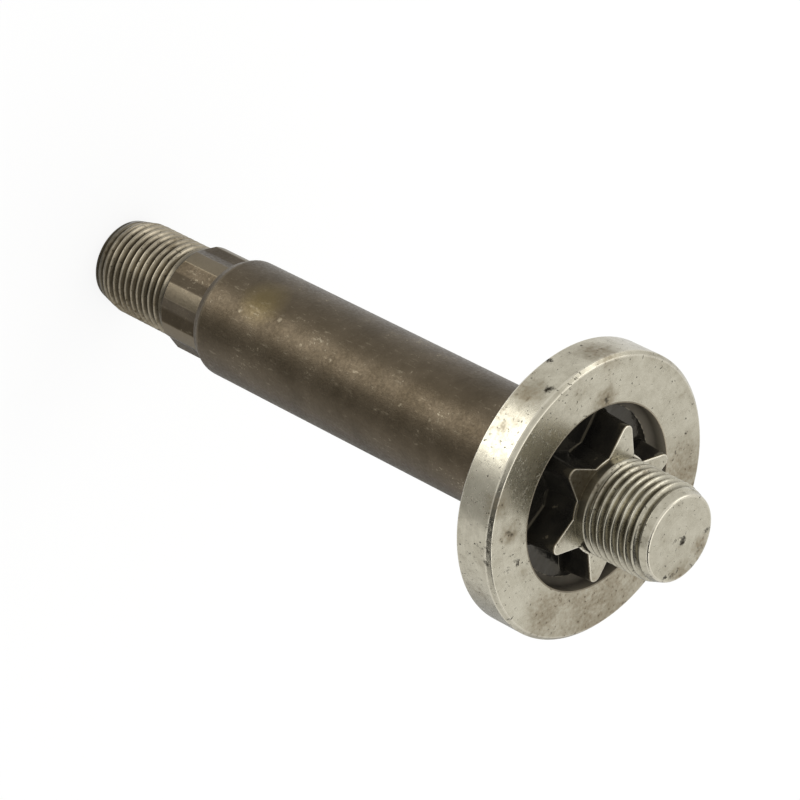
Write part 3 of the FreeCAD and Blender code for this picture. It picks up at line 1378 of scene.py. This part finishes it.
class ShaftWeld:
    """Collects the shaft's meshes and welds them into one closed piece."""

    def __init__(self) -> None:
        """Starts with nothing collected."""
        self.points: list[Point] = []
        self.faces: list[tuple[int, ...]] = []
        self.finish: list[int] = []
        self.soft: list[bool] = []
        self.materials: list[bpy.types.Material] = []
        self.attributes: dict[str, list[float]] = {"wear_and_shade": [], "groove": []}

    def add(self, mesh: bpy.types.Mesh, soft: bool) -> None:
        """Adds a mesh.

        Args:
            mesh: Mesh in mm, with its materials.
            soft: Whether its edges are shaded soft, as a thread's are.
        """
        first = len(self.points)
        self.points += [tuple(vertex.co) for vertex in mesh.vertices]
        for name, values in self.attributes.items():
            layer = mesh.attributes.get(name)
            read = [0.0] * len(mesh.vertices)
            if layer is not None:
                layer.data.foreach_get("value", read)
            values += read
        for face in mesh.polygons:
            material = mesh.materials[face.material_index]
            if material not in self.materials:
                self.materials.append(material)
            self.faces.append(tuple(first + corner for corner in face.vertices))
            self.finish.append(self.materials.index(material))
            self.soft.append(soft)
        bpy.data.meshes.remove(mesh)

    def add_turned(self, strip: Strip, material: bpy.types.Material) -> None:
        """Adds a turned strip in one material.

        Args:
            strip: Strip in mm.
            material: Its material.
        """
        scratch = strip.to_object("turned_strip")
        mesh = scratch.data
        mesh.materials.append(material)
        bpy.data.objects.remove(scratch)
        self.add(mesh, soft=False)

    def weld(self, name: str) -> bpy.types.Object:
        """Welds what was added.

        Args:
            name: Name of the piece.

        Returns:
            The piece, at the origin and in metres.
        """
        mesh = bpy.data.meshes.new(name)
        mesh.from_pydata(self.points, [], self.faces)
        for material in self.materials:
            mesh.materials.append(material)
        mesh.polygons.foreach_set("material_index", self.finish)
        for key, values in self.attributes.items():
            mesh.attributes.new(key, "FLOAT", "POINT").data.foreach_set("value", values)
        shell = bmesh.new()
        shell.from_mesh(mesh)
        shell.faces.ensure_lookup_table()
        soft_faces = {face for face, soft in zip(shell.faces, self.soft) if soft}
        bmesh.ops.remove_doubles(shell, verts=shell.verts, dist=WELD)
        bmesh.ops.recalc_face_normals(shell, faces=shell.faces)
        for face in shell.faces:
            face.smooth = True
        for edge in shell.edges:
            soft = all(face in soft_faces for face in edge.link_faces)
            edge.smooth = soft or edge.calc_face_angle(0.0) < SHARP_ANGLE
        open_edges = sum(1 for edge in shell.edges if not edge.is_manifold)
        volume = shell.calc_volume(signed=True)
        log.info("%s: %d faces, %d open edges, %.0f mm3", name, len(shell.faces), open_edges, volume)
        bmesh.ops.transform(shell, matrix=Matrix.Scale(MM, 4), verts=shell.verts)
        shell.to_mesh(mesh)
        shell.free()
        return add_object(name, mesh)


@dataclass(frozen=True)
class Camera:
    """The photograph's view.

    Attributes:
        place: Where the camera is, in mm.
        right: Direction of the picture's right.
        up: Direction of the picture's top.
        lens: Focal length for the sensor, in mm.
        sensor: Width of the sensor, in mm.
    """

    place: Point = (310.554, -419.961, 480.432)
    right: Point = (-0.692603, 0.179528, 0.698621)
    up: Point = (-0.551514, -0.756036, -0.352480)
    lens: float = 192.205
    sensor: float = 36.0

    def build(self) -> None:
        """Makes the camera and gives it to the scene."""
        data = bpy.data.cameras.new("photograph")
        data.lens, data.sensor_width = self.lens, self.sensor
        data.clip_start, data.clip_end = 0.01, 100.0
        right, up = Vector(self.right), Vector(self.up)
        turn = Matrix((right, up, right.cross(up))).transposed().to_4x4()
        camera = add_object("photograph", data)
        camera.matrix_world = Matrix.Translation(Vector(self.place) * MM) @ turn
        bpy.context.scene.camera = camera


@dataclass(frozen=True)
class Lamp:
    """One soft box.

    Attributes:
        name: Name of the lamp.
        toward: Direction from the shaft to the lamp.
        distance: Distance from the shaft, in metres.
        size: Width of the lamp, in metres.
        power: Power in watts.
    """

    name: str
    toward: Point
    distance: float
    size: float
    power: float

    def build(self, aim: Vector) -> None:
        """Places the lamp, facing what it lights.

        Args:
            aim: Point that the lamp faces.
        """
        data = bpy.data.lights.new(self.name, "AREA")
        data.shape, data.size, data.energy = "DISK", self.size, self.power
        lamp = add_object(self.name, data)
        away = Vector(self.toward).normalized()
        lamp.location = aim + away * self.distance
        lamp.rotation_euler = away.to_track_quat("Z", "Y").to_euler()


@dataclass(frozen=True)
class Card:
    """A plain card that only shows in reflections, where it draws the form of the metal.

    Attributes:
        name: Name of the card.
        toward: Direction from the shaft to the card.
        distance: Distance from the shaft, in metres.
        width: Width of the card, in metres.
        height: Height of the card, in metres.
        colour: Colour of the card.
    """

    name: str
    toward: Point
    distance: float
    width: float
    height: float
    colour: str

    def build(self, aim: Vector) -> None:
        """Places the card, facing the shaft.

        Args:
            aim: Point that the card faces.
        """
        away = Vector(self.toward).normalized()
        middle = aim + away * self.distance
        side = away.cross(Vector((0, 0, 1))).normalized() * (self.width / 2)
        rise = side.normalized().cross(away) * (self.height / 2)
        corners = [middle - side - rise, middle + side - rise, middle + side + rise, middle - side + rise]
        mesh = bpy.data.meshes.new(self.name)
        mesh.from_pydata([tuple(corner) for corner in corners], [], [(0, 1, 2, 3)])
        material, _, shader = start_material(self.name)
        shader.inputs["Base Color"].default_value = linear(self.colour)
        shader.inputs["Roughness"].default_value = 1.0
        mesh.materials.append(material)
        card = add_object(self.name, mesh)
        card.visible_camera = card.visible_diffuse = card.visible_shadow = False


@dataclass(frozen=True)
class Studio:
    """A white room with soft light.

    Attributes:
        lamps: Soft boxes.
        cards: Plain cards.
        aim: Point that they face, in mm.
        low: Strength of the room's light from below.
        high: Strength of the room's light from above.
        floor_size: Width of the floor, in metres.
        floor_colour: Colour of the floor.
        floor_shade: How much of the floor's own shading shows.
    """

    lamps: tuple[Lamp, ...]
    cards: tuple[Card, ...]
    aim: Point = (0.0, 0.0, 75.0)
    low: float = 0.75
    high: float = 1.0
    floor_size: float = 6.0
    floor_colour: str = "#F4F4F2"
    floor_shade: float = 0.15

    def build(self) -> None:
        """Builds the room, its floor, its lamps and its cards."""
        self.room()
        self.floor()
        for fitting in self.lamps + self.cards:
            fitting.build(Vector(self.aim) * MM)

    def seen(self, tree: bpy.types.NodeTree) -> bpy.types.NodeSocket:
        """Tells rays that look at the background from those that light the shaft.

        Args:
            tree: Node tree of the world or of a material.

        Returns:
            One for camera, glossy and transmission rays, and zero for the rest.
        """
        path = add_node(tree, "ShaderNodeLightPath").outputs
        mirrored = add_node(
            tree,
            "ShaderNodeMath",
            {0: path["Is Glossy Ray"], 1: path["Is Transmission Ray"]},
            operation="MAXIMUM",
        ).outputs[0]
        return add_node(
            tree, "ShaderNodeMath", {0: path["Is Camera Ray"], 1: mirrored}, operation="MAXIMUM"
        ).outputs[0]

    def room(self) -> None:
        """Makes the world: white to the eye, a little dimmer from below."""
        world = bpy.data.worlds.new("white_room")
        world.use_nodes = True
        tree = world.node_tree
        toward = add_node(tree, "ShaderNodeTexCoord").outputs["Generated"]
        height = add_node(tree, "ShaderNodeSeparateXYZ", {0: toward}).outputs["Z"]
        level = add_node(
            tree,
            "ShaderNodeMapRange",
            {"Value": height, "From Min": -0.6, "From Max": 0.6, "To Min": self.low, "To Max": self.high},
        ).outputs["Result"]
        strength = add_node(
            tree, "ShaderNodeMath", {0: level, 1: self.seen(tree)}, operation="MAXIMUM"
        ).outputs[0]
        tree.links.new(strength, tree.nodes["Background"].inputs["Strength"])
        tree.nodes["Background"].inputs["Color"].default_value = (1.0, 1.0, 1.0, 1.0)
        bpy.context.scene.world = world

    def floor(self) -> None:
        """Makes the floor, white to the eye, which keeps a soft shadow."""
        half = self.floor_size / 2
        mesh = bpy.data.meshes.new("floor")
        corners = [(-half, -half, 0), (half, -half, 0), (half, half, 0), (-half, half, 0)]
        mesh.from_pydata(corners, [], [(0, 1, 2, 3)])
        floor = add_object("floor", mesh)
        material, tree, _ = start_material("white_paper")
        tree.nodes.clear()
        paper = add_node(tree, "ShaderNodeBsdfDiffuse", {"Color": linear(self.floor_colour)}).outputs[0]
        white = add_node(tree, "ShaderNodeEmission", {"Color": (1, 1, 1, 1), "Strength": 1.0}).outputs[0]
        share = add_node(
            tree, "ShaderNodeMath", {0: self.seen(tree), 1: 1.0 - self.floor_shade}, operation="MULTIPLY"
        ).outputs[0]
        mixed = add_node(tree, "ShaderNodeMixShader", {0: share, 1: paper, 2: white}).outputs[0]
        add_node(tree, "ShaderNodeOutputMaterial", {0: mixed})
        mesh.materials.append(material)
        floor.visible_glossy = False
        floor.visible_shadow = False


SEAT_HEIGHT = 107.1  # height of the seating face, in mm
STAR_HEIGHT = 109.95  # height of the star's top, in mm
END_HEIGHT = 123.8  # height of the blade end's face, in mm

# Marks on the turned steel: the seating face, the star's top, the rim with its chamfer, and the blade end. The
# two on the star's top are a painted reflection.
BRIGHT_BLEMISHES = (
    Blemish(Mark.PIT, (17.7, -0.5, SEAT_HEIGHT), 0.8),
    Blemish(Mark.PIT, (18.3, -2.3, SEAT_HEIGHT), 0.55),
    Blemish(Mark.PIT, (19.8, -0.6, SEAT_HEIGHT), 0.5),
    Blemish(Mark.PIT, (17.8, -6.4, SEAT_HEIGHT), 0.7, 0.7),
    Blemish(Mark.PIT, (-5.3, -15.5, SEAT_HEIGHT), 0.8, 0.8),
    Blemish(Mark.PIT, (-17.7, -6.4, SEAT_HEIGHT), 0.5, 0.8),
    Blemish(Mark.STAIN, (-5.3, -15.5, SEAT_HEIGHT), 3.0, 0.9),
    Blemish(Mark.STAIN, (17.8, -6.4, SEAT_HEIGHT), 2.6, 0.9),
    Blemish(Mark.STAIN, (14.5, 12.2, SEAT_HEIGHT), 6.0, 0.9),
    Blemish(Mark.STAIN, (11.2, 12.3, SEAT_HEIGHT), 4.0, 0.8),
    Blemish(Mark.STAIN, (18.5, -12.5, SEAT_HEIGHT), 3.0, 0.8),
    Blemish(Mark.STAIN, (4.0, 19.0, SEAT_HEIGHT), 15.0, 0.8),
    Blemish(Mark.STAIN, (-7.0, 18.0, SEAT_HEIGHT), 9.0, 0.8),
    Blemish(Mark.STAIN, (-16.0, 10.0, SEAT_HEIGHT), 11.0, 0.9),
    Blemish(Mark.STAIN, (-6.5, 18.0, SEAT_HEIGHT), 7.0),
    # Painted reflection of the thread's dark side on the top of the star point at 300 degrees.
    Blemish(Mark.STAIN, (5.2, -9.0, STAR_HEIGHT), 6.0),
    Blemish(Mark.PIT, (5.6, -9.7, STAR_HEIGHT), 6.0, 0.4),
    Blemish(Mark.PIT, (-1.1, -23.4, 101.0), 0.8),
    Blemish(Mark.PIT, (3.2, -23.2, 105.3), 1.0),
    Blemish(Mark.STAIN, (5.3, -22.8, 103.0), 3.0, 0.9),
    Blemish(Mark.STAIN, (-7.8, -22.1, 105.0), 4.0, 0.9),
    Blemish(Mark.PIT, (21.1, 10.2, 106.0), 0.6),
    Blemish(Mark.PIT, (21.0, -9.8, 106.7), 0.6, 0.8),
    Blemish(Mark.PIT, (21.7, -7.9, 106.7), 0.7, 0.9),
    Blemish(Mark.PIT, (22.3, -6.0, 106.7), 0.7, 0.9),
    Blemish(Mark.PIT, (22.8, -4.0, 106.7), 0.6, 0.8),
    Blemish(Mark.PIT, (-0.4, 0.7, END_HEIGHT), 1.0),
    Blemish(Mark.PIT, (4.7, 4.7, END_HEIGHT), 0.8),
    Blemish(Mark.PIT, (-4.1, 4.7, END_HEIGHT), 0.7, 0.9),
    Blemish(Mark.PIT, (-3.0, 4.4, END_HEIGHT), 0.5, 0.8),
    Blemish(Mark.PIT, (3.0, 5.1, END_HEIGHT), 0.6, 0.9),
    Blemish(Mark.PIT, (1.9, 5.3, END_HEIGHT), 0.5, 0.8),
    Blemish(Mark.STAIN, (1.6, 6.0, END_HEIGHT), 2.6, 0.9),
    Blemish(Mark.PIT, (-1.2, 6.3, END_HEIGHT), 0.7, 0.9),
    Blemish(Mark.PIT, (-5.6, 2.6, END_HEIGHT), 0.8, 0.9),
    Blemish(Mark.STAIN, (-3.7, 4.1, END_HEIGHT), 2.4, 1.0),
    Blemish(Mark.STAIN, (-3.2, 6.7, END_HEIGHT), 1.6, 1.0),
)

# Marks on the barrel's oxide.
BARREL_BLEMISHES = (
    Blemish(Mark.STAIN, (2.0, -9.8, 38.5), 5.0, 0.4),
    Blemish(Mark.SCUFF, (3.8, -9.25, 43.7), 0.55, 0.35),
    Blemish(Mark.SCUFF, (5.65, -8.25, 56.8), 0.4, 0.3),
    Blemish(Mark.SCUFF, (6.7, -7.42, 73.2), 0.4, 0.3),
    Blemish(Mark.SCUFF, (6.68, -7.44, 79.7), 0.4, 0.3),
    Blemish(Mark.SCUFF, (5.09, -8.61, 35.5), 0.5, 0.35),
    Blemish(Mark.SCUFF, (5.66, -8.24, 50.0), 0.4, 0.3),
    Blemish(Mark.SCUFF, (9.74, -2.28, 72.7), 0.35, 0.3),
    Blemish(Mark.SCUFF, (8.32, -5.54, 68.8), 0.35, 0.3),
)

# A paler place on the recess wall.
RECESS_BLEMISHES = (Blemish(Mark.STAIN, (-15.2, -1.0, 105.6), 11.0),)

# Brown stains on the pulley thread.
PULLEY_BLEMISHES = (
    Blemish(Mark.STAIN, (4.2, -5.7, 0.6), 3.0, 0.9),
    Blemish(Mark.STAIN, (7.4, -2.7, 16.8), 2.5, 0.9),
    Blemish(Mark.STAIN, (7.2, 3.3, 8.0), 9.0, 0.9),
)


def make_finishes() -> Finishes:
    """Builds the shaft's materials.

    Returns:
        The materials.
    """
    # Thick scale from hot forging. It is nearly black and glossy, so the eye sees its warm shine more than its
    # colour.
    forging_scale = SkinnedSteel(
        name="black_forging_scale",
        dark="#0F0F10",
        pale="#26241F",
        stain="#26241F",
        # Colour of the painted shade where the wear attribute is below 0.
        dirt_and_shade="#0A0A0A",
        bare="#9A8F78",
        shine_tint="#DDCFAE",
        metal=0.0,
        roughness=0.15,
        grain=2.0,
        patch=5.0,
        relief=0.14,
        edge_wear=0.7,
    )
    # Thin, dry scale on the recess wall. It is matt and grey-brown, so the eye sees an even shade round the
    # wall.
    grey_scale = SkinnedSteel(
        name="grey_forging_scale",
        dark="#676053",
        pale="#807868",
        stain="#A59C8A",
        # Colour of the painted shade towards the recess floor.
        dirt_and_shade="#1A1815",
        bare="#9A8F78",
        gloss=0.2,
        metal=0.0,
        roughness=0.7,
        grain=0.7,
        patch=4.0,
        relief=0.06,
        edge_wear=0.7,
        blemishes=RECESS_BLEMISHES,
    )
    # Oxide on turned steel, so thin that it keeps a metal's soft sheen. Pale flecks and scratches show where it
    # is rubbed through.
    brown_oxide = SkinnedSteel(
        name="brown_oxide_steel",
        dark="#4A4133",
        pale="#5C5243",
        stain="#73653F",
        # Colour of the painted shade on the spline's valley walls.
        dirt_and_shade="#241E15",
        bare="#A69C86",
        metal=1.0,
        roughness=0.4,
        grain=0.5,
        patch=7.0,
        relief=0.05,
        rubbed=0.17,
        scratched=0.6,
        edge_wear=0.5,
        blemishes=BARREL_BLEMISHES,
    )
    # A cut thread under a light oxide. It is duller and browner than the flange, with dark grooves between its
    # turns.
    dull_thread = TurnedSteel(
        name="oxidised_thread_steel",
        bright="#A39A87",
        dull="#787060",
        edge="#B7AE9A",
        rust="#5E4E2E",
        # Colour of the grime in the grooves, and of the painted shade at the foot and below the spline.
        grime_and_shade="#221E15",
        grime_from=0.22,
        roughness=0.32,
        blemishes=PULLEY_BLEMISHES,
    )
    # Carbon steel from the lathe. It gives a wide, satin silver shine that stains and pits break up.
    bright_steel = TurnedSteel(blemishes=BRIGHT_BLEMISHES)
    return Finishes(
        turned=bright_steel.make(),
        scale=forging_scale.make(),
        recess=grey_scale.make(),
        oxide=brown_oxide.make(),
        pulley=dull_thread.make(),
    )


def main() -> None:
    """Builds the shaft, the room and the camera."""
    logging.basicConfig(level=logging.INFO, format="%(name)s: %(message)s")
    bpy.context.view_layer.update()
    finishes = make_finishes()
    threads, copies = thread_tree(), repeat_tree()
    pulley_end = PulleyEnd()
    spline = PulleySpline(base=pulley_end.top, thread_radius=pulley_end.thread.major_radius)
    journal = Journal(base=spline.top)
    flange = Flange(base=journal.top)
    star = BladeStar(
        floor=flange.floor,
        thread_radius=pulley_end.thread.major_radius,
        floor_edge=flange.floor_edge,
    )
    blade_end = BladeEnd(base=star.top)
    weld = ShaftWeld()
    weld.add(pulley_end.build(threads, finishes), soft=True)
    weld.add(spline.build(copies, finishes), soft=False)
    for strip, material in flange.build(journal, finishes):
        weld.add_turned(strip, material)
    weld.add(star.build(copies, finishes), soft=False)
    weld.add(blade_end.build(threads, finishes), soft=True)
    shaft = weld.weld("shaft_forging")
    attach(shaft, "root")
    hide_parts(NODE)
    log.info("piece %s rides on root and replaces %s", shaft.name, NODE)
    Studio(
        lamps=(
            Lamp("window", toward=(0.34, -0.71, -0.62), distance=0.7, size=0.42, power=1.12),
            Lamp("side", toward=(-0.69, -0.32, 0.64), distance=0.7, size=0.45, power=0.75),
            Lamp("overhead", toward=(-0.2, 0.3, 0.9), distance=1.0, size=0.8, power=1.5),
        ),
        cards=(
            Card("grey_card", (0.75, -0.2, -0.5), distance=0.4, width=0.22, height=0.7, colour="#BCBCBC"),
            Card("low_card", (-0.14, 0.78, -0.62), distance=0.4, width=0.38, height=0.5, colour="#BCBCBC"),
            Card("black_card", (0.51, 0.19, 0.84), distance=0.45, width=0.52, height=0.33, colour="#262626"),
        ),
    ).build()
    Camera().build()
    bpy.context.scene.view_settings.view_transform = "Standard"


if __name__ == "__main__":
    main()
